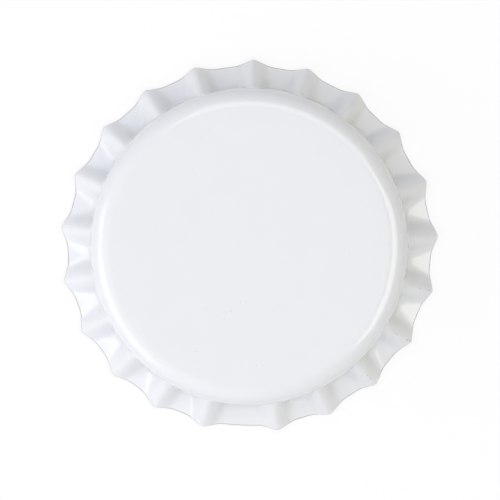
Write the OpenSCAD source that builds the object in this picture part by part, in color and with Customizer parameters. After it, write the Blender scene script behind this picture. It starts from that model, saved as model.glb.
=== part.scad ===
// Crown cap: a pressed sheet-steel shell with a fluted, flared skirt, and the sealing liner
// moulded into it. Millimetres. The cap stands on the rim of its skirt, panel upwards.

/* [Shell] */
// Height of the cap, from the rim of the skirt to the top panel
cap_h = 6; // [5.4:0.05:6.6]
// Outside diameter of the drum, the round wall under the top panel
drum_d = 27.1; // [26.6:0.05:27.6]
// Outside radius of the corner between the panel and the drum
corner_r = 1.7; // [1.3:0.05:1.9]
// Thickness of the steel sheet
sheet_t = 0.235; // [0.2:0.005:0.26]

/* [Skirt] */
// Diameter over the tips of the crests
crest_d = 32.2; // [31.4:0.1:33]
// Diameter over the rim between the crests
valley_d = 31.05; // [30.4:0.05:31.2]
// Height of the crest tips above the ground
tip_h = 0.55; // [0.4:0.05:0.9]
// Height of the drum's wall that stays round, under the corner
collar_h = 0.3; // [0.2:0.05:0.5]
// How far the wall spreads down a valley, from the drum to where the lip turns outwards
wall_spread = 0.1; // [0.05:0.05:0.4]
// Slope of the turned-out lip of a valley, in degrees from the ground
lip_slope = 25; // [20:1:35]
// Radius of the bend between the wall and the lip of a valley
lip_bend_r = 0.5; // [0.4:0.05:0.8]
// Radius of the bend where a crest leaves the drum
crest_bend_r = 1; // [0.5:0.1:1.6]

/* [Flutes] */
// Number of flutes round the skirt
flutes = 21; // [18:1:22]
// Half width of a crest against the drum, in degrees round the cap
crest_top_w = 5.4; // [4.8:0.1:6]
// Half width of a crest at the rim, in degrees round the cap
crest_rim_w = 3.3; // [3:0.1:4.2]
// Roundness of a crest's fold against the drum, as a share of its half width
fold_top = 1; // [0.7:0.05:1.2]
// Roundness of a crest's fold at the rim, as a share of its half width
fold_rim = 0.5; // [0.4:0.05:0.9]
// Softness of the foot of a crest's flanks against the drum, as a share of its height
scoop_top = 0.3; // [0.2:0.05:0.5]
// Softness of the foot of a crest's flanks at the rim, as a share of its height
scoop_rim = 0.2; // [0.1:0.05:0.4]
// Half width of a tooth of the rim's outline, in degrees round the cap
tooth_w = 5.1; // [4.5:0.1:6]
// Roundness of a tooth's point, as a share of its half width
tooth_fold = 0.1; // [0.05:0.01:0.3]
// Softness of the hollow between two teeth, as a share of a tooth's length
tooth_scoop = 0.24; // [0.1:0.02:0.4]
// Width of the widest flute, in degrees round the cap
wide_flute = 23.6; // [17:0.1:25]
// Direction of the middle of the widest flute, in degrees
wide_flute_at = 267.2; // [260:0.1:275]
// Width of the second widest flute, in degrees round the cap
loose_flute = 18.5; // [17:0.1:20]
// Direction of the middle of the second widest flute, in degrees
loose_flute_at = 97.9; // [92:0.1:104]
// Most that the crests right of the two odd flutes have crept round, in degrees
right_creep = -0.7; // [-1.5:0.1:1.5]
// Most that the crests left of the two odd flutes have crept round, in degrees
left_creep = 1.3; // [-1.5:0.1:1.5]
// Most that the skirt's radius gains towards the sides and loses towards front and back
out_of_round = 0.1; // [0:0.01:0.15]

/* [Liner] */
// Gap between the liner's edge and the shell's corner
liner_gap = 0.05; // [0.03:0.01:0.1]
// Thickness of the liner's middle
liner_web_t = 0.35; // [0.25:0.05:0.5]
// Radial width of the liner's sealing ring
seal_w = 2.4; // [2:0.1:2.8]
// Depth of the sealing ring below the panel's inner face
seal_h = 0.9; // [0.7:0.05:1.1]
// Height of the two beads on the sealing ring
bead_h = 0.25; // [0.15:0.05:0.35]
// Width of each bead
bead_w = 0.6; // [0.4:0.05:0.7]

/* [Hidden] */
$fn = 96;

// The shell's fixed heights and radii
drum_r = drum_d / 2;
foot_r = drum_r + wall_spread;
crest_r = crest_d / 2;
valley_r = valley_d / 2;
panel_r = drum_r - corner_r;
panel_z = cap_h - sheet_t;
inner_corner_r = corner_r - sheet_t;
shoulder_z = cap_h - corner_r;
collar_z = shoulder_z - collar_h;
rim_z = sheet_t * cos(lip_slope);
foot_z = rim_z + (valley_r - foot_r) * tan(lip_slope);

// The skirt's sheet starts inside the drum's sheet, by this much in from each face and this far up
lap_in = 0.02;
lap_up = 0.15;

// How finely the skirt is laid out: the steps of the bend at a valley's foot, the steps from a
// crest to the middle of a valley, which crowd towards the crest, and where the rows stand on the
// wall and on the lip, as shares of them
bend_steps = 2;
flank_steps = 6;
flank_crowding = 1.35;
wall_shares = [0.12, 0.4];
lip_shares = [0.5];

// Where the two beads stand across the sealing ring, as shares of its width
bead_shares = [0.3, 0.7];

// Directions of the crests: two runs of even flutes, with the two odd ones between the runs
wide_end = wide_flute_at + wide_flute / 2;
wide_start = wide_flute_at + 360 - wide_flute / 2;
loose_start = loose_flute_at + 360 - loose_flute / 2;
loose_end = loose_flute_at + 360 + loose_flute / 2;
right_arc = loose_start - wide_end;
left_arc = wide_start - loose_end;
right_flutes = round((flutes - 2) * right_arc / (right_arc + left_arc));
left_flutes = flutes - 2 - right_flutes;
crests = concat(
    [for (k = [0:right_flutes]) wide_end + right_arc * k / right_flutes + creep(right_creep, k / right_flutes)],
    [for (k = [0:left_flutes]) loose_end + left_arc * k / left_flutes + creep(left_creep, k / left_flutes)]
);
function creep(most, share) = most * sin(180 * share);
function flute_w(k) = (k < flutes - 1 ? crests[k + 1] : crests[0] + 360) - crests[k];

function unit(v) = v / norm(v);

// A vector in section, turned to the left by an angle
function turned(v, angle) = [v[0] * cos(angle) - v[1] * sin(angle), v[0] * sin(angle) + v[1] * cos(angle)];

// The skirt's outer face in section down a valley, as radius and height: wall, bend and lip
wall_top = [drum_r - lap_in, collar_z];
foot = [foot_r, foot_z];
rim = [valley_r, rim_z];
up_wall = unit(wall_top - foot);
out_lip = unit(rim - foot);
half_foot = acos(up_wall * out_lip) / 2;
foot_centre = foot + unit(up_wall + out_lip) * lip_bend_r / sin(half_foot);
foot_start = foot + up_wall * lip_bend_r / tan(half_foot);
foot_bend = [
    for (k = [0:bend_steps])
        foot_centre + turned(foot_start - foot_centre, (180 - 2 * half_foot) * k / bend_steps)
];
valley_line = concat(
    [wall_top],
    [for (share = wall_shares) wall_top + (foot_start - wall_top) * share],
    foot_bend,
    [for (share = lip_shares) foot_bend[bend_steps] + (rim - foot_bend[bend_steps]) * share],
    [rim]
);
function valley_height(r) = lookup(r, valley_line);

// The same down a crest: it turns out of the drum's wall and runs straight to its tip
tip = [crest_r, tip_h];
crest_centre = wall_top + [crest_bend_r, 0];
to_tip = tip - crest_centre;
crest_turn = 180 + atan2(to_tip[1], to_tip[0]) - acos(crest_bend_r / norm(to_tip));
crest_start = crest_centre + turned(wall_top - crest_centre, crest_turn);
function crest_height(r) =
    r < crest_start[0]
        ? crest_centre[1] - sqrt(pow(crest_bend_r, 2) - pow(crest_centre[0] - r, 2))
        : tip[1] + (r - tip[0]) * (tip[1] - crest_start[1]) / (tip[0] - crest_start[0]);

// How far a crest stands out at a way from its fold: 1 on the fold, 0 half way to the next one
function flank(x, fold, scoop) =
    let (side = 1 - (norm([x, fold]) - fold) / (norm([1, fold]) - fold))
    (side + norm([side, scoop])) / 2;
function rise(way, half, width, fold, scoop) =
    let (low = flank(half / width, fold, scoop))
    (flank(way / width, fold, scoop) - low) / (flank(0, fold, scoop) - low);

// The skirt's columns, round the cap: each is a direction, its way from the nearest crest, and the
// way from that crest to the middle of the valley, all in degrees
way_shares = [for (k = [0:flank_steps]) pow(k / flank_steps, flank_crowding)];
columns = [
    for (k = [0:flutes - 1])
        let (half = flute_w(k) / 2)
        each concat(
            [for (share = way_shares) [crests[k] + half * share, half * share, half]],
            [
                for (n = [flank_steps - 1:-1:1])
                    [crests[k] + half * (2 - way_shares[n]), half * way_shares[n], half]
            ]
        )
];
column_count = len(columns);

// The skirt's rows: the first laps into the drum, and the others are the points of a valley's line
row_count = len(valley_line) + 1;
function between(top, bottom, share) = top + (bottom - top) * share;

// A point of the skirt's outer face: the lip runs out into a tooth at each crest, and the height
// is the valley's at that radius or the crest's, or lies between the two on a flank
function skin(i, j) =
    let (
        direction = columns[j][0],
        way = columns[j][1],
        half = columns[j][2],
        row_r = valley_line[max(i - 1, 0)][0],
        lip = max(0, (row_r - foot_r) / (valley_r - foot_r)),
        r = row_r + lip * (crest_r - valley_r) * rise(way, half, tooth_w, tooth_fold, tooth_scoop),
        flare = (r - drum_r) / (crest_r - drum_r),
        crest_w = between(crest_top_w, crest_rim_w, flare),
        fold = between(fold_top, fold_rim, flare),
        out = rise(way, half, crest_w, fold, between(scoop_top, scoop_rim, flare)),
        height = between(valley_height(r), crest_height(r), out),
        skin_r = r + out_of_round * flare * cos(2 * direction)
    )
    [skin_r * cos(direction), skin_r * sin(direction), i > 0 ? height : collar_z + lap_up];
outer = [for (i = [0:row_count - 1]) for (j = [0:column_count - 1]) skin(i, j)];
function at(i, j) = min(max(i, 0), row_count - 1) * column_count + (j + column_count) % column_count;

// Where the skirt's sheet laps the drum's it is thinner and upright; elsewhere it is the full
// thickness, square to the outer face
function outward(i, j) =
    i < 2
        ? unit([outer[at(i, j)][0], outer[at(i, j)][1], 0])
        : unit(cross(outer[at(i + 1, j)] - outer[at(i - 1, j)], outer[at(i, j + 1)] - outer[at(i, j - 1)]));
function thickness(i) = i < 2 ? sheet_t - 2 * lap_in : sheet_t;
inner = [
    for (i = [0:row_count - 1])
        for (j = [0:column_count - 1])
            outer[at(i, j)] - outward(i, j) * thickness(i)
];

// Two triangles for each cell of the grid, turned the other way round on the inner face
point_count = row_count * column_count;
function cell(a, b, c, d) = [[a, b, c], [a, c, d]];
skirt_faces = [
    for (j = [0:column_count - 1])
        each concat(
            [
                for (i = [0:row_count - 2])
                    each cell(at(i, j), at(i, j + 1), at(i + 1, j + 1), at(i + 1, j))
            ],
            [
                for (i = [0:row_count - 2])
                    each [
                        for (face = cell(at(i, j), at(i + 1, j), at(i + 1, j + 1), at(i, j + 1)))
                            [for (index = face) index + point_count]
                    ]
            ],
            cell(at(0, j), at(0, j) + point_count, at(0, j + 1) + point_count, at(0, j + 1)),
            cell(
                at(row_count - 1, j),
                at(row_count - 1, j + 1),
                at(row_count - 1, j + 1) + point_count,
                at(row_count - 1, j) + point_count
            )
        )
];

module quarter_ring(outer_radius, inner_radius) {
    intersection() {
        difference() {
            circle(outer_radius);
            circle(inner_radius);
        }
        square(outer_radius);
    }
}

// Panel, corner and round wall, as one sheet turned about the axis
module drum() {
    rotate_extrude() {
        translate([0, panel_z])
            square([panel_r, sheet_t]);
        translate([panel_r, shoulder_z])
            quarter_ring(corner_r, inner_corner_r);
        translate([drum_r - sheet_t, collar_z])
            square([sheet_t, collar_h]);
    }
}

module skirt() {
    polyhedron(points = concat(outer, inner), faces = skirt_faces, convexity = 12);
}

module crown_shell() {
    color("white")
        union() {
            drum();
            skirt();
        }
}

// The liner's edge has the form of the shell's inner corner, moved in by the gap
seal_z = panel_z - seal_h;
edge_x = panel_r - liner_gap;
seal_r = edge_x + sqrt(pow(inner_corner_r, 2) - pow(seal_z - shoulder_z, 2));
seal_inner_r = seal_r - seal_w;
bead_r = bead_w / 2;

module liner_edge() {
    intersection() {
        translate([edge_x, shoulder_z])
            circle(inner_corner_r);
        translate([edge_x, seal_z])
            square([inner_corner_r, seal_h]);
    }
}

module liner_ring() {
    polygon([
        [seal_inner_r, seal_z],
        [edge_x, seal_z],
        [edge_x, panel_z],
        [seal_inner_r - seal_h + liner_web_t, panel_z],
        [seal_inner_r - seal_h + liner_web_t, panel_z - liner_web_t]
    ]);
}

module sealing_liner() {
    color("gainsboro")
        rotate_extrude() {
            translate([0, panel_z - liner_web_t])
                square([seal_inner_r, liner_web_t]);
            liner_ring();
            liner_edge();
            for (share = bead_shares)
                translate([seal_inner_r + seal_w * share, seal_z + bead_r - bead_h])
                    circle(bead_r);
        }
}

crown_shell();
sealing_liner();
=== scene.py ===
"""Looks of a crown bottle cap: the white enamelled steel shell with its fluted skirt, lacquered inside
and cut edge, the moulded sealing liner, and a plain white studio. Metres, in the part's own frame."""

import math

import bmesh
import bpy
from bpy.props import FloatProperty, FloatVectorProperty, IntProperty, PointerProperty
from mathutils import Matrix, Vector


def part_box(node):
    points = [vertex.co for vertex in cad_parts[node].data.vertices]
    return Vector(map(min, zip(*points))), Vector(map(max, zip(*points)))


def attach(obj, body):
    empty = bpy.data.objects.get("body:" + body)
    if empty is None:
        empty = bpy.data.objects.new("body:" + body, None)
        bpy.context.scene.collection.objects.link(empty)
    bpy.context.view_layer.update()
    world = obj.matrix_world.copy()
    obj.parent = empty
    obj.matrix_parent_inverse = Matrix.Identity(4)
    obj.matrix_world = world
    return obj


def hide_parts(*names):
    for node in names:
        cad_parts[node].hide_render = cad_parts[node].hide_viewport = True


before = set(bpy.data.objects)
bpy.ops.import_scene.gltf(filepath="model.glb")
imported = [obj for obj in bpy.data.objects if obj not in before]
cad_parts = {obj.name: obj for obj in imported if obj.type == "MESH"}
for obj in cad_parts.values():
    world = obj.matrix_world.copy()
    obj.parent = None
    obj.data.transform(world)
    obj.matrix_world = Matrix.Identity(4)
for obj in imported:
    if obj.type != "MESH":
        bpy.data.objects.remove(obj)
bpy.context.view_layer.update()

bl_info = {
    "name": "Crown Bottle Cap",
    "version": (1, 0, 0),
    "blender": (4, 5, 0),
    "location": "3D View > Sidebar > Crown Cap",
    "description": "Makes an enamelled crown cap with its sealing liner, and a studio to see it in",
    "category": "Add Mesh",
}

SHELL_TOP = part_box("crown_shell")[1].z
LINER_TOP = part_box("sealing_liner")[1].z
BODY = "root"
MM = 0.001
TURN = 2 * math.pi
RIGHT_ANGLE = math.pi / 2
SAME_PLACE = 1e-8  # points closer than this are one point
SLIVER = 1e-6  # edges shorter than this are left over from a bevel


# ---------------------------------------------------------------- sizes and colours


def length(name, description, default, least=0.0):
    """A size in metres, or a distance along an axis where the least value is below 0."""
    return FloatProperty(
        name=name, description=description, default=default, min=least, unit="LENGTH", precision=6
    )


def angle(name, description, degrees):
    """An angle, given in degrees and kept in radians."""
    return FloatProperty(
        name=name, description=description, default=math.radians(degrees),
        unit="ROTATION", subtype="ANGLE",
    )


def share(name, description, default):
    """A plain number from 0 to 1."""
    return FloatProperty(name=name, description=description, default=default, min=0, max=1)


def colour(name, description, default):
    """A linear colour."""
    return FloatVectorProperty(
        name=name, description=description, default=default, size=3, min=0, max=1, subtype="COLOR"
    )


class ShellSizes(bpy.types.PropertyGroup):
    """The drum and the skirt of the pressed shell."""

    height: length("Height", "From the rim of the skirt to the top panel", SHELL_TOP)
    sheet: length("Sheet", "Thickness of the steel sheet", 0.235 * MM)
    drum: length("Drum diameter", "Outside, over the round wall under the panel", 27.1 * MM)
    corner: length("Corner radius", "Outside, between the panel and the drum", 1.7 * MM)
    collar: length("Collar", "Height of the drum's wall that stays round", 0.3 * MM)
    spread: length("Wall spread", "Of the wall down a valley, from the drum to its foot", 0.1 * MM)
    crest: length("Crest diameter", "Over the tips of the crests", 32.2 * MM)
    valley: length("Valley diameter", "Over the rim between the crests", 31.05 * MM)
    tip: length("Tip height", "Of the crest tips above the ground", 0.55 * MM)
    lip_slope: angle("Lip slope", "Of the turned-out lip of a valley, from the ground", 25)
    lip_dish: length("Lip dish", "Sag of the lip of a valley below a straight one", 0.014 * MM)
    lip_bend: length("Lip bend", "Radius between the wall and the lip of a valley", 0.5 * MM)
    crest_bend: length("Crest bend", "Radius where a crest leaves the drum", 1.0 * MM)
    out_of_round: length("Out of round", "What the skirt's radius gains and loses", 0.1 * MM)
    edge_round: length("Edge round", "Rounding of the cut edge of the sheet", 0.09 * MM)


class FluteSizes(bpy.types.PropertyGroup):
    """The layout of the flutes round the skirt and the form of their crests."""

    count: IntProperty(
        name="Flutes", description="Number of flutes round the skirt", default=21, min=8, max=40
    )
    top_width: angle("Top half width", "Of a crest against the drum, from fold to foot", 5.4)
    rim_width: angle("Rim half width", "Of a crest at the rim, from fold to foot", 3.3)
    top_fold: share("Top fold", "Roundness of a crest's fold against the drum", 1.0)
    rim_fold: share("Rim fold", "Roundness of a crest's fold at the rim", 0.5)
    top_scoop: share("Top scoop", "Roundness of the foot of the flanks against the drum", 0.3)
    rim_scoop: share("Rim scoop", "Roundness of the foot of the flanks at the rim", 0.2)
    tooth_width: angle("Tooth half width", "Of a crest's tooth in the outline of the rim", 5.1)
    tooth_fold: share("Tooth fold", "Roundness of a tooth's tip", 0.1)
    tooth_scoop: share("Tooth scoop", "Roundness of the foot of a tooth", 0.24)
    wide: angle("Widest flute", "Width of the widest flute", 23.6)
    wide_at: angle("Widest flute at", "Direction of the middle of the widest flute", 267.2)
    loose: angle("Second flute", "Width of the second widest flute", 18.5)
    loose_at: angle("Second flute at", "Direction of the middle of the second widest flute", 97.9)
    right_creep: angle("Right creep", "Most that the crests on the right have crept round", -0.7)
    left_creep: angle("Left creep", "Most that the crests on the left have crept round", 1.3)


class LinerSizes(bpy.types.PropertyGroup):
    """The moulded sealing liner."""

    gap: length("Gap", "Between the liner's edge and the shell's corner", 0.05 * MM)
    web: length("Web", "Thickness of the middle", 0.35 * MM)
    ring: length("Ring width", "Radial width of the sealing ring", 2.4 * MM)
    depth: length("Ring depth", "Of the sealing ring below the panel", 0.9 * MM)
    bead_height: length("Bead height", "Of the two beads on the sealing ring", 0.25 * MM)
    bead_width: length("Bead width", "Of each bead", 0.6 * MM)
    edge_round: length("Edge round", "Rounding of the moulded corners", 0.08 * MM)


class CapColours(bpy.types.PropertyGroup):
    """The finishes of the cap."""

    enamel: colour("Enamel", "White enamel on the outside", (0.83, 0.845, 0.86))
    scuff: colour("Scuff", "Dark ticks where the fold of a crest is rubbed", (0.3, 0.29, 0.28))
    # partly painted shade: the cut edge's steel is set darker than bare steel, so that the rim shows as
    # a dark line
    steel_and_shade: colour("Steel", "Bare steel of the cut edge", (0.36, 0.36, 0.36))
    lacquer: colour("Lacquer", "Lacquered tinplate of the inside", (0.74, 0.71, 0.64))
    liner: colour("Liner", "Milky sealing compound", (0.78, 0.8, 0.79))


class StudioSizes(bpy.types.PropertyGroup):
    """The camera and the floor."""

    field: length("Field", "Width of the view at the cap's rim", 42.88 * MM)
    aim_x: length("Aim X", "Middle of the view from the cap's axis", 0.049 * MM, least=-10 * MM)
    aim_y: length("Aim Y", "Middle of the view from the cap's axis", -0.349 * MM, least=-10 * MM)
    lean: angle("Lean", "Of the camera off the vertical, towards the back", 0.95)
    reach: length("Reach", "Distance of the camera", 1.2)
    floor: length("Floor", "Radius of the floor", 3.0)


# ---------------------------------------------------------------- outlines and meshes


class Outline:
    """A chain of edges in the XZ plane, drawn with straight runs and arcs and then turned about Z."""

    def __init__(self, x, z):
        self.bm = bmesh.new()
        self.end = self.bm.verts.new((x, 0, z))

    def line_to(self, x, z, steps=1):
        """A straight run to a point, in equal steps."""
        start, goal = self.end.co.copy(), Vector((x, 0, z))
        for k in range(steps):
            self.end = bmesh.ops.extrude_vert_indiv(self.bm, verts=[self.end])["verts"][0]
            self.end.co = start.lerp(goal, (k + 1) / steps)

    def arc(self, x, z, turn, steps):
        """An arc about a centre. A positive turn goes from +Z towards +X."""
        made = bmesh.ops.spin(
            self.bm, geom=[self.end], cent=(x, 0, z), axis=(0, 1, 0), angle=turn, steps=steps
        )
        self.end = made["geom_last"][0]

    def turned(self, steps):
        """The surface that the chain sweeps in a full turn about Z, with its seam and poles closed."""
        bm = self.bm
        bmesh.ops.spin(
            bm, geom=bm.verts[:] + bm.edges[:], cent=(0, 0, 0), axis=(0, 0, 1), angle=TURN, steps=steps,
            use_merge=True,
        )
        bmesh.ops.remove_doubles(bm, verts=bm.verts, dist=SAME_PLACE)
        return bm


def show(name, bm, materials):
    """Makes an object of a finished mesh, at the origin, with its materials."""
    mesh = bpy.data.meshes.new(name)
    bm.to_mesh(mesh)
    bm.free()
    for face in mesh.polygons:
        face.use_smooth = True
    for material in materials:
        mesh.materials.append(material)
    piece = bpy.data.objects.new(name, mesh)
    bpy.context.scene.collection.objects.link(piece)
    return piece


def rotated(v, turn):
    """A vector in section, as radius and height, turned anticlockwise."""
    c, s = math.cos(turn), math.sin(turn)
    return Vector((v.x * c - v.y * s, v.x * s + v.y * c))


def arc_points(centre, start, turn, steps):
    """Points of an arc in section, from its start."""
    return [centre + rotated(start - centre, turn * k / steps) for k in range(steps + 1)]


class SectionLine:
    """A falling line of points in section, whose radius grows from point to point."""

    RADIUS, HEIGHT = range(2)

    def __init__(self, points):
        self.points = points

    def _between(self, axis, value, sign):
        """The point at a radius or a height. The last run goes on past its end."""
        for a, b in zip(self.points, self.points[1:]):
            if sign * value <= sign * b[axis]:
                break
        return a.lerp(b, (value - a[axis]) / (b[axis] - a[axis]))

    def at_radius(self, radius):
        """The point at a radius."""
        return self._between(self.RADIUS, radius, 1)

    def at_height(self, z):
        """The point at a height."""
        return self._between(self.HEIGHT, z, -1)


class Skirt:
    """Where each point of the fluted skirt lies, from its section and its place round the cap."""

    BEND_STEPS = 8
    FLANK_STEPS = 20
    CROWDING = 1.35  # above 1, the columns stand closer at a fold than in mid valley

    def __init__(self, shell, flutes):
        self.shell, self.flutes = shell, flutes
        self.drum_r, self.crest_r = shell.drum / 2, shell.crest / 2
        self.shoulder_z = shell.height - shell.corner
        self.collar_z = self.shoulder_z - shell.collar
        self.columns = self.lay_columns(self.crest_directions())

        top = Vector((self.drum_r, self.collar_z))
        rim = Vector((shell.valley / 2, shell.sheet * math.cos(shell.lip_slope)))
        foot_r = self.drum_r + shell.spread
        foot = Vector((foot_r, rim.y + (rim.x - foot_r) * math.tan(shell.lip_slope)))
        up_wall, out_lip = (top - foot).normalized(), (rim - foot).normalized()
        half = up_wall.angle(out_lip) / 2
        self.foot_centre = foot + (up_wall + out_lip).normalized() * shell.lip_bend / math.sin(half)
        self.foot_start = foot + up_wall * shell.lip_bend / math.tan(half)
        self.foot_turn = math.pi - 2 * half
        self.rim, self.foot_r = rim, foot_r
        bend = arc_points(self.foot_centre, self.foot_start, self.foot_turn, self.BEND_STEPS)
        self.valley_line = SectionLine([top] + bend + [rim])

        tip = Vector((self.crest_r, shell.tip))
        crest_centre = top + Vector((shell.crest_bend, 0))
        to_tip = tip - crest_centre
        turn = math.pi + math.atan2(to_tip.y, to_tip.x) - math.acos(shell.crest_bend / to_tip.length)
        self.crest_line = SectionLine(arc_points(crest_centre, top, turn, self.BEND_STEPS) + [tip])

    def crest_directions(self):
        """Two runs of even flutes, with the two odd ones between the runs."""
        f = self.flutes
        wide_end, wide_start = f.wide_at + f.wide / 2, f.wide_at + TURN - f.wide / 2
        loose_start, loose_end = f.loose_at + TURN - f.loose / 2, f.loose_at + TURN + f.loose / 2
        right_arc, left_arc = loose_start - wide_end, wide_start - loose_end
        right = round((f.count - 2) * right_arc / (right_arc + left_arc))
        left = f.count - 2 - right

        def run(start, arc, number, creep):
            return [
                start + arc * k / number + creep * math.sin(math.pi * k / number)
                for k in range(number + 1)
            ]

        right_run = run(wide_end, right_arc, right, f.right_creep)
        return right_run + run(loose_end, left_arc, left, f.left_creep)

    def lay_columns(self, crests):
        """For each column its direction, its way from the nearest crest and the half flute."""
        columns = []
        for start, end in zip(crests, crests[1:] + [crests[0] + TURN]):
            half = (end - start) / 2
            ways = [half * (k / self.FLANK_STEPS) ** self.CROWDING for k in range(self.FLANK_STEPS + 1)]
            columns += [(start + way, way, half) for way in ways]
            columns += [(end - way, way, half) for way in reversed(ways[1:-1])]
        return columns

    @staticmethod
    def rise(way, half, width, fold, scoop):
        """How far a crest stands out at a way round from its fold, from 1 down to 0 in mid valley."""
        def tent(x):
            side = 1 - (math.hypot(x, fold) - fold) / (math.hypot(1, fold) - fold)
            return (side + math.hypot(side, scoop)) / 2

        low = tent(half / width)
        return (tent(way / width) - low) / (tent(0) - low)

    def lip_share(self, radius):
        """How far out on a valley's lip a radius lies, from 0 at its foot to 1 at its rim."""
        return max(0.0, (radius - self.foot_r) / (self.rim.x - self.foot_r))

    def bend_vertex(self, vertex, ridge_layer):
        """Moves a vertex of the turned surface to where the fluted sheet has it."""
        f = self.flutes
        radius, z = math.hypot(vertex.co.x, vertex.co.y), vertex.co.z
        if radius < SAME_PLACE:
            return
        turn = math.atan2(vertex.co.y, vertex.co.x) % TURN
        direction, way, half = self.columns[round(turn / TURN * len(self.columns)) % len(self.columns)]
        if z < self.collar_z - SAME_PLACE:
            radius = self.valley_line.at_height(z).x
            tooth = self.rise(way, half, f.tooth_width, f.tooth_fold, f.tooth_scoop)
            radius += self.lip_share(radius) * (self.crest_r - self.rim.x) * tooth
            valley, crest = self.valley_line.at_radius(radius).y, self.crest_line.at_radius(radius).y
            lip = self.lip_share(radius)
            valley -= 4 * self.shell.lip_dish * lip * (1 - lip)  # a full dish at half way out
            flare = (radius - self.drum_r) / (self.crest_r - self.drum_r)
            width, fold, scoop = (
                top + (rim - top) * flare
                for top, rim in (
                    (f.top_width, f.rim_width), (f.top_fold, f.rim_fold), (f.top_scoop, f.rim_scoop)
                )
            )
            out = self.rise(way, half, width, fold, scoop)
            z = valley + (crest - valley) * out
            radius += self.shell.out_of_round * flare * math.cos(2 * direction)
            vertex[ridge_layer] = out
        vertex.co = (radius * math.cos(direction), radius * math.sin(direction), z)


# ---------------------------------------------------------------- materials


class Wire:
    """A socket that Python's operators work on: each adds the Math node it needs."""

    def __init__(self, paint, socket):
        self.paint, self.socket = paint, socket

    def _math(self, operation, first, second):
        return self.paint.node("ShaderNodeMath", {"operation": operation}, {0: first, 1: second})

    def __add__(self, other):
        return self._math("ADD", self, other)

    __radd__ = __add__

    def __sub__(self, other):
        return self._math("SUBTRACT", self, other)

    def __rsub__(self, other):
        return self._math("SUBTRACT", other, self)

    def __mul__(self, other):
        return self._math("MULTIPLY", self, other)

    __rmul__ = __mul__

    def __gt__(self, other):
        return self._math("GREATER_THAN", self, other)

    def __lt__(self, other):
        return self._math("LESS_THAN", self, other)


class Paint:
    """A node tree being written, for a material or a world."""

    MIX_FACTOR, MIX_FIRST, MIX_SECOND, MIX_RESULT = 0, 6, 7, 2  # the Mix node's colour sockets

    def __init__(self, owner):
        owner.use_nodes = True
        self.tree = owner.node_tree
        self.tree.nodes.clear()

    @classmethod
    def material(cls, name):
        """A new material and its paint."""
        made = bpy.data.materials.new(name)
        return made, cls(made)

    def node(self, kind, settings=None, values=None, output=0):
        """Adds a node: its settings first, then the values or links of its sockets."""
        node = self.tree.nodes.new(kind)
        for name, value in (settings or {}).items():
            setattr(node, name, value)
        for name, value in (values or {}).items():
            if isinstance(value, Wire):
                self.tree.links.new(value.socket, node.inputs[name])
            else:
                node.inputs[name].default_value = value
        return Wire(self, node.outputs[output]) if node.outputs else None

    def place(self):
        """The point in the piece's own frame."""
        return self.node("ShaderNodeTexCoord", output="Object")

    def noise(self, size, detail=2.0, roughness=0.5, output="Fac"):
        """Soft noise whose lumps are about as large as the size, in metres."""
        values = {"Scale": 1 / size, "Detail": detail, "Roughness": roughness, "Vector": self.place()}
        return self.node("ShaderNodeTexNoise", {}, values, output)

    def vector(self, operation, *terms, output=0):
        """Vector maths on wires or plain triples."""
        values = dict(enumerate(terms))
        return self.node("ShaderNodeVectorMath", {"operation": operation}, values, output)

    def ramp(self, wire, low, high):
        """0 up to the low value, 1 from the high one, and smooth between."""
        values = {"Value": wire, "From Min": low, "From Max": high}
        return self.node("ShaderNodeMapRange", {"interpolation_type": "SMOOTHSTEP"}, values)

    def mix(self, factor, first, second):
        """Two colours mixed by a factor."""
        values = {
            self.MIX_FACTOR: factor,
            self.MIX_FIRST: self._rgba(first),
            self.MIX_SECOND: self._rgba(second),
        }
        settings = {"data_type": "RGBA", "clamp_factor": True}
        return self.node("ShaderNodeMix", settings, values, self.MIX_RESULT)

    @staticmethod
    def _rgba(value):
        return value if isinstance(value, Wire) else (*value, 1.0)

    def bump(self, height, depth):
        """A normal from a height, whose full range is that deep, in metres."""
        return self.node("ShaderNodeBump", {}, {"Strength": 1.0, "Distance": depth, "Height": height})

    def finish(self, **values):
        """Ends a material in one Principled shader, whose sockets are given in small letters."""
        odd = {"ior": "IOR"}
        sockets = {
            odd.get(name, name.replace("_", " ").title()): value for name, value in values.items()
        }
        shader = self.node("ShaderNodeBsdfPrincipled", {}, sockets)
        self.node("ShaderNodeOutputMaterial", {}, {"Surface": shader})


def tint(base, factor):
    """A colour made lighter or darker."""
    return tuple(min(1.0, part * factor) for part in base)


SPECK_RADIUS = 0.05  # in cells of the speck pattern
SPECK_LOT = 0.58  # specks where the noise is below this are left out
SPECK_STRENGTH = 0.35
SCUFF_STRENGTH = 0.6
RIDGE_TOP = 0.992  # rise above which a point is on the ridge line of a crest
SCUFFED_AZIMUTH = math.radians(-30)
SCUFFED_SIDE = (math.cos(SCUFFED_AZIMUTH), math.sin(SCUFFED_AZIMUTH), 0.0)
SCUFF_START = 14.2 * MM  # from the cap's axis, towards the scuffed side


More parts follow.
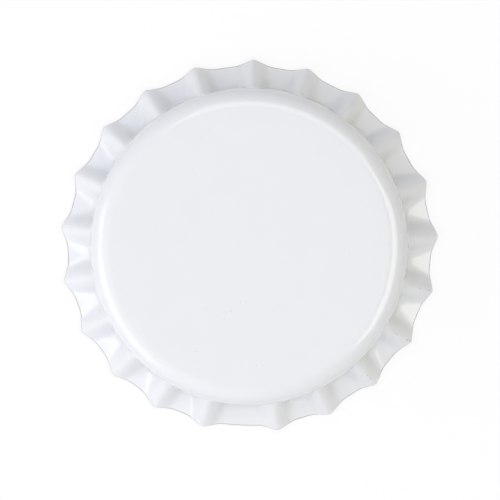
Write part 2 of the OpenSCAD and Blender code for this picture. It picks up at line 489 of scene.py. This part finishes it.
def white_enamel(colours):
    """Gloss enamel: faint mottling, a few specks, a trace of orange peel, and scuffed ridge lines."""
    material, paint = Paint.material("white_enamel")
    white = tuple(colours.enamel)
    place = paint.place()
    mottle = paint.noise(3 * MM, detail=3.0)
    base = paint.mix(mottle, tint(white, 0.985), tint(white, 1.01))

    wobble = paint.noise(0.1 * MM, detail=2.0, output="Color")
    shaken = paint.vector("MULTIPLY_ADD", wobble, (0.12 * MM,) * 3, place)
    dust = paint.node("ShaderNodeTexVoronoi", {}, {"Vector": shaken, "Scale": 1 / (1.1 * MM)})
    specks = (dust < SPECK_RADIUS) * (paint.noise(0.9 * MM, detail=0.0) > SPECK_LOT)
    base = paint.mix(specks * SPECK_STRENGTH, base, tint(white, 0.5))

    ridge = paint.node("ShaderNodeAttribute", {"attribute_name": "ridge"}, output="Fac") > RIDGE_TOP
    sideways = paint.vector("DOT_PRODUCT", place, SCUFFED_SIDE, output="Value")
    ticks = paint.ramp(paint.noise(0.25 * MM, detail=3.0, roughness=0.7), low=0.52, high=0.62)
    scuffs = ridge * ticks * (sideways > SCUFF_START)
    base = paint.mix(scuffs * SCUFF_STRENGTH, base, tuple(colours.scuff))
    peel = paint.noise(0.8 * MM, detail=1.0)
    paint.finish(
        base_color=base,
        roughness=0.03 + 0.02 * mottle + 0.25 * scuffs,
        ior=1.5,
        normal=paint.bump(peel, depth=0.0006 * MM),
    )
    return material


def lacquered_tinplate(colours):
    """Clear gold lacquer over tinplate, with the fine grain of the rolled sheet."""
    material, paint = Paint.material("lacquered_tinplate")
    base = tuple(colours.lacquer)
    grain = paint.noise(0.25 * MM, detail=2.0)
    clouds = paint.noise(2.5 * MM, detail=2.0)
    paint.finish(
        base_color=paint.mix(clouds, tint(base, 0.93), tint(base, 1.05)),
        metallic=0.85,
        roughness=0.24 + 0.1 * grain,
        normal=paint.bump(grain, depth=0.002 * MM),
    )
    return material


def cut_steel_and_shade(colours):
    """Bare sheared steel, a bright band over a torn one, its colour set darker than bare steel as
    painted shade along the cut edge.
    """
    material, paint = Paint.material("cut_steel_and_shade")
    # the steel colour, darkened past bare steel by painted shade along the cut edge
    base = tuple(colours.steel_and_shade)
    tears = paint.noise(0.08 * MM, detail=3.0, roughness=0.6)
    paint.finish(
        base_color=paint.mix(tears, tint(base, 0.75), tint(base, 1.2)),
        metallic=0.9,
        roughness=0.34 + 0.2 * tears,
        normal=paint.bump(tears, depth=0.004 * MM),
    )
    return material


def sealing_compound(colours):
    """Milky moulded compound: soft sheen, faint clouds and flow marks."""
    material, paint = Paint.material("sealing_compound")
    base = tuple(colours.liner)
    clouds = paint.noise(2.0 * MM, detail=3.0)
    grain = paint.noise(0.12 * MM, detail=2.0)
    paint.finish(
        base_color=paint.mix(clouds, tint(base, 0.95), tint(base, 1.04)),
        roughness=0.38 + 0.14 * clouds,
        normal=paint.bump(grain, depth=0.002 * MM),
        subsurface_weight=0.25,
        subsurface_scale=0.4 * MM,
    )
    return material


# ---------------------------------------------------------------- the pieces


class OBJECT_OT_crown_shell(bpy.types.Operator):
    """Make the pressed shell: one sheet, fluted, with its cut edge rounded and its inside lacquered"""

    bl_idname = "object.crown_shell"
    bl_label = "Crown Shell"

    PANEL_STEPS = 6
    CORNER_STEPS = 16
    COLLAR_STEPS = 3
    WALL_STEPS = 14
    LIP_STEPS = 9
    ROUND_STEPS = 2
    OUTSIDE, INSIDE, EDGE = range(3)

    def execute(self, context):
        settings = context.scene.crown_cap
        shell, flutes = settings.shell, settings.flutes
        skirt = Skirt(shell, flutes)
        panel_r = skirt.drum_r - shell.corner
        outline = Outline(0, shell.height)
        outline.line_to(panel_r, shell.height, self.PANEL_STEPS)
        outline.arc(panel_r, skirt.shoulder_z, RIGHT_ANGLE, self.CORNER_STEPS)
        outline.line_to(skirt.drum_r, skirt.collar_z, self.COLLAR_STEPS)
        outline.line_to(skirt.foot_start.x, skirt.foot_start.y, self.WALL_STEPS)
        outline.arc(skirt.foot_centre.x, skirt.foot_centre.y, -skirt.foot_turn, skirt.BEND_STEPS)
        outline.line_to(skirt.rim.x, skirt.rim.y, self.LIP_STEPS)
        bm = outline.turned(len(skirt.columns))

        ridge_layer = bm.verts.layers.float.new("ridge")
        for vertex in bm.verts:
            skirt.bend_vertex(vertex, ridge_layer)
        bmesh.ops.recalc_face_normals(bm, faces=bm.faces)
        self.thicken(bm, shell)
        piece = show("enamelled_shell", bm, self.materials(settings.colours))
        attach(piece, BODY)
        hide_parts("crown_shell")
        return {"FINISHED"}

    def thicken(self, bm, shell):
        """Gives the outer skin the sheet's thickness inwards, and rounds the cut edge."""
        outer = bm.faces[:]
        if sum(face.normal.z * face.calc_area() for face in outer) < 0:
            bmesh.ops.reverse_faces(bm, faces=outer)
        bmesh.ops.solidify(bm, geom=outer, thickness=shell.sheet)
        bm.normal_update()
        outer = set(outer)
        for face in bm.faces:
            sides = [loop.link_loop_radial_next.face in outer for loop in face.loops]
            inner = self.EDGE if any(sides) else self.INSIDE
            face.material_index = self.OUTSIDE if face in outer else inner
        rims = [
            edge for edge in bm.edges
            if len({face.material_index for face in edge.link_faces}) > 1
            and any(face.material_index == self.EDGE for face in edge.link_faces)
        ]
        rounded = bmesh.ops.bevel(
            bm, geom=rims, offset=shell.edge_round, offset_type="OFFSET",
            segments=self.ROUND_STEPS, profile=0.5, affect="EDGES", material=-1,
        )
        for face in rounded["faces"]:
            face.material_index = self.EDGE
        for edge in bm.edges:
            edge.smooth = len({face.material_index for face in edge.link_faces}) == 1

    @staticmethod
    def materials(colours):
        """In the order of OUTSIDE, INSIDE and EDGE."""
        return [white_enamel(colours), lacquered_tinplate(colours), cut_steel_and_shade(colours)]


class OBJECT_OT_sealing_liner(bpy.types.Operator):
    """Make the moulded liner: a thin web and a thick ring with two beads"""

    bl_idname = "object.sealing_liner"
    bl_label = "Sealing Liner"

    TURN_STEPS = 240
    CURVE_STEPS = 8
    WEB_STEPS = 3
    ROUND_STEPS = 3
    SHARP_TURN = math.radians(20)
    BEAD_SHARES = (0.3, 0.7)  # where the beads stand across the sealing ring

    def execute(self, context):
        settings = context.scene.crown_cap
        shell, liner = settings.shell, settings.liner
        web_z = LINER_TOP - liner.web
        seal_z = LINER_TOP - liner.depth
        shoulder_z = shell.height - shell.corner
        corner_r = shell.corner - shell.sheet
        edge_x = shell.drum / 2 - shell.corner - liner.gap
        seal_r = edge_x + math.sqrt(corner_r ** 2 - (seal_z - shoulder_z) ** 2)
        ring_r = seal_r - liner.ring
        bead_r = liner.bead_width / 2
        bead_half = math.acos((bead_r - liner.bead_height) / bead_r)
        bead_reach = bead_r * math.sin(bead_half)

        outline = Outline(0, LINER_TOP)
        outline.line_to(edge_x, LINER_TOP)
        outline.arc(edge_x, shoulder_z, math.acos((seal_z - shoulder_z) / corner_r), self.CURVE_STEPS)
        for part in reversed(self.BEAD_SHARES):
            middle = ring_r + liner.ring * part
            outline.line_to(middle + bead_reach, seal_z)
            outline.arc(middle, seal_z + bead_r - liner.bead_height, 2 * bead_half, self.CURVE_STEPS)
        outline.line_to(ring_r, seal_z)
        rise = liner.depth - liner.web
        outline.line_to(ring_r - rise, web_z)
        outline.line_to(0, web_z, self.WEB_STEPS)
        bm = outline.turned(self.TURN_STEPS)
        bmesh.ops.recalc_face_normals(bm, faces=bm.faces)
        self.round_corners(bm, liner)
        piece = show("moulded_liner", bm, [sealing_compound(settings.colours)])
        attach(piece, BODY)
        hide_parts("sealing_liner")
        return {"FINISHED"}

    def round_corners(self, bm, liner):
        """Rounds the moulded corners: the edges round the axis where the section turns sharply."""
        sharp = [
            edge for edge in bm.edges
            if edge.is_manifold and edge.calc_face_angle() > self.SHARP_TURN
        ]
        bmesh.ops.bevel(
            bm, geom=sharp, offset=liner.edge_round, offset_type="OFFSET",
            segments=self.ROUND_STEPS, profile=0.5, affect="EDGES", material=-1, clamp_overlap=True,
        )
        bmesh.ops.remove_doubles(bm, verts=bm.verts, dist=SLIVER)


# ---------------------------------------------------------------- the studio


def towards(azimuth, elevation):
    """A unit vector from the cap, by its azimuth and elevation in degrees."""
    a, e = math.radians(azimuth), math.radians(elevation)
    return Vector((math.cos(a) * math.cos(e), math.sin(a) * math.cos(e), math.sin(e)))


def softbox(name, azimuth, elevation, reach, size, radiance, tone, diffuse=True, gloss=True):
    """A rectangular light that faces the cap, placed by its direction and set by how bright it looks."""
    data = bpy.data.lights.new(name, "AREA")
    data.shape = "RECTANGLE"
    data.size, data.size_y = size
    data.energy = radiance * math.pi * size[0] * size[1]
    data.color = tone
    lamp = bpy.data.objects.new(name, data)
    lamp.visible_camera = False
    lamp.visible_diffuse, lamp.visible_glossy = diffuse, gloss
    away = towards(azimuth, elevation)
    lamp.location = away * reach
    lamp.rotation_mode = "QUATERNION"
    lamp.rotation_quaternion = away.to_track_quat("Z", "Y")
    bpy.context.scene.collection.objects.link(lamp)


class SCENE_OT_cap_studio(bpy.types.Operator):
    """Make the pale floor, the soft lights, the world and the camera"""

    bl_idname = "scene.cap_studio"
    bl_label = "Cap Studio"

    SENSOR = 36.0
    AMBIENT = 0.11
    FLOOR_SHADE = 0.2  # the share of the floor's look that comes from the light on it
    FLOOR_SIDES = 64
    FLOOR_COLOUR = (0.98, 0.98, 0.98, 1.0)
    WHITE = (1.0, 1.0, 1.0, 1.0)

    def execute(self, context):
        studio = context.scene.crown_cap.studio
        context.scene.view_settings.view_transform = "Standard"
        self.make_floor(studio)
        self.make_world(context.scene)
        self.make_lights()
        self.make_camera(context.scene, studio)
        return {"FINISHED"}

    @staticmethod
    def make_lights():
        """Soft boxes round the cap. A shine is seen in the gloss only, and does not light the cap."""
        softbox(
            "soft_right", azimuth=353, elevation=54.5, reach=0.3, size=(0.165, 0.212),
            radiance=1.1, tone=(1.0, 0.92, 0.25), gloss=False,
        )
        softbox(
            "shine_right", azimuth=350.5, elevation=49, reach=0.28, size=(0.222, 0.138),
            radiance=3.2, tone=(1.0, 0.99, 0.84), diffuse=False,
        )
        softbox(
            "soft_left", azimuth=198, elevation=24.5, reach=0.3, size=(0.37, 0.16),
            radiance=1.88, tone=(1.0, 0.985, 0.94),
        )
        softbox(
            "soft_top", azimuth=0, elevation=90, reach=0.5, size=(0.7, 0.7),
            radiance=1.38, tone=(1.0, 1.01, 1.15), gloss=False,
        )
        softbox(
            "soft_front", azimuth=270, elevation=40, reach=0.5, size=(0.5, 0.4),
            radiance=0.7, tone=(1.0, 1.02, 1.15), gloss=False,
        )
        softbox(
            "soft_back", azimuth=142, elevation=26, reach=0.4, size=(0.32, 0.3),
            radiance=0.68, tone=(1.0, 1.01, 1.04), gloss=False,
        )
        softbox(
            "shine_back", azimuth=72, elevation=62, reach=0.42, size=(0.38, 0.2),
            radiance=1.8, tone=(0.98, 1.0, 1.02), diffuse=False,
        )

    def make_floor(self, studio):
        """A wide disc that keeps the cap's soft shadow, and otherwise shows as white."""
        bm = bmesh.new()
        bmesh.ops.create_circle(bm, cap_ends=True, segments=self.FLOOR_SIDES, radius=studio.floor)
        material, paint = Paint.material("pale_floor")
        glow = self.seen(paint) * (1 - self.FLOOR_SHADE)
        lit = paint.node("ShaderNodeBsdfDiffuse", {}, {"Color": self.FLOOR_COLOUR})
        white = paint.node("ShaderNodeEmission", {}, {"Color": self.WHITE, "Strength": 1.0})
        both = paint.node("ShaderNodeMixShader", {}, {0: glow, 1: lit, 2: white})
        paint.node("ShaderNodeOutputMaterial", {}, {"Surface": both})
        show("pale_floor", bm, [material])

    @staticmethod
    def seen(paint):
        """1 for rays that show the background: straight to the camera, by gloss or through glass."""
        path = {kind: paint.node("ShaderNodeLightPath", output=kind) for kind in (
            "Is Camera Ray", "Is Glossy Ray", "Is Transmission Ray"
        )}
        total = path["Is Camera Ray"] + path["Is Glossy Ray"] + path["Is Transmission Ray"]
        return paint.node("ShaderNodeMath", {"operation": "MINIMUM"}, {0: total, 1: 1.0})

    def make_world(self, scene):
        """A dim even light on the cap, behind which the background shows as white."""
        world = bpy.data.worlds.new("studio_world")
        scene.world = world
        paint = Paint(world)
        dim = paint.node("ShaderNodeBackground", {}, {"Color": self.WHITE, "Strength": self.AMBIENT})
        white = paint.node("ShaderNodeBackground", {}, {"Color": self.WHITE, "Strength": 1.0})
        both = paint.node("ShaderNodeMixShader", {}, {0: self.seen(paint), 1: dim, 2: white})
        paint.node("ShaderNodeOutputWorld", {}, {"Surface": both})

    def make_camera(self, scene, studio):
        """A long lens nearly straight above the cap, aimed at the height of the rim's tips."""
        data = bpy.data.cameras.new("camera")
        data.sensor_width = self.SENSOR
        data.lens = self.SENSOR * studio.reach / studio.field
        data.clip_end = 10 * studio.reach
        camera = bpy.data.objects.new("camera", data)
        aim = Vector((studio.aim_x, studio.aim_y, scene.crown_cap.shell.tip))
        away = Vector((0, math.sin(studio.lean), math.cos(studio.lean)))
        camera.location = aim + away * studio.reach
        camera.rotation_euler = (-studio.lean, 0, 0)
        scene.collection.objects.link(camera)
        scene.camera = camera


class CrownCapSettings(bpy.types.PropertyGroup):
    """Everything that a user would change on the cap."""

    shell: PointerProperty(type=ShellSizes, name="Shell", description="Sizes of the shell")
    flutes: PointerProperty(type=FluteSizes, name="Flutes", description="Layout of the flutes")
    liner: PointerProperty(type=LinerSizes, name="Liner", description="Sizes of the liner")
    colours: PointerProperty(type=CapColours, name="Colours", description="Finishes of the cap")
    studio: PointerProperty(type=StudioSizes, name="Studio", description="Camera and floor")


class VIEW3D_PT_crown_cap(bpy.types.Panel):
    """The cap's operators and settings, in the sidebar"""

    bl_label = "Crown Cap"
    bl_idname = "VIEW3D_PT_crown_cap"
    bl_space_type = "VIEW_3D"
    bl_region_type = "UI"
    bl_category = "Crown Cap"

    def draw(self, context):
        settings = context.scene.crown_cap
        for operator in OPERATORS:
            self.layout.operator(operator.bl_idname)
        for name in ("shell", "flutes", "liner", "colours", "studio"):
            box = self.layout.box()
            box.label(text=name.title())
            group = getattr(settings, name)
            for field in type(group).__annotations__:
                box.prop(group, field)


GROUPS = (ShellSizes, FluteSizes, LinerSizes, CapColours, StudioSizes, CrownCapSettings)
OPERATORS = (OBJECT_OT_crown_shell, OBJECT_OT_sealing_liner, SCENE_OT_cap_studio)


def register():
    for cls in GROUPS + OPERATORS + (VIEW3D_PT_crown_cap,):
        bpy.utils.register_class(cls)
    bpy.types.Scene.crown_cap = PointerProperty(type=CrownCapSettings)


def unregister():
    del bpy.types.Scene.crown_cap
    for cls in reversed(GROUPS + OPERATORS + (VIEW3D_PT_crown_cap,)):
        bpy.utils.unregister_class(cls)


def main():
    register()
    bpy.ops.object.crown_shell()
    bpy.ops.object.sealing_liner()
    bpy.ops.scene.cap_studio()


if __name__ == "__main__":
    main()
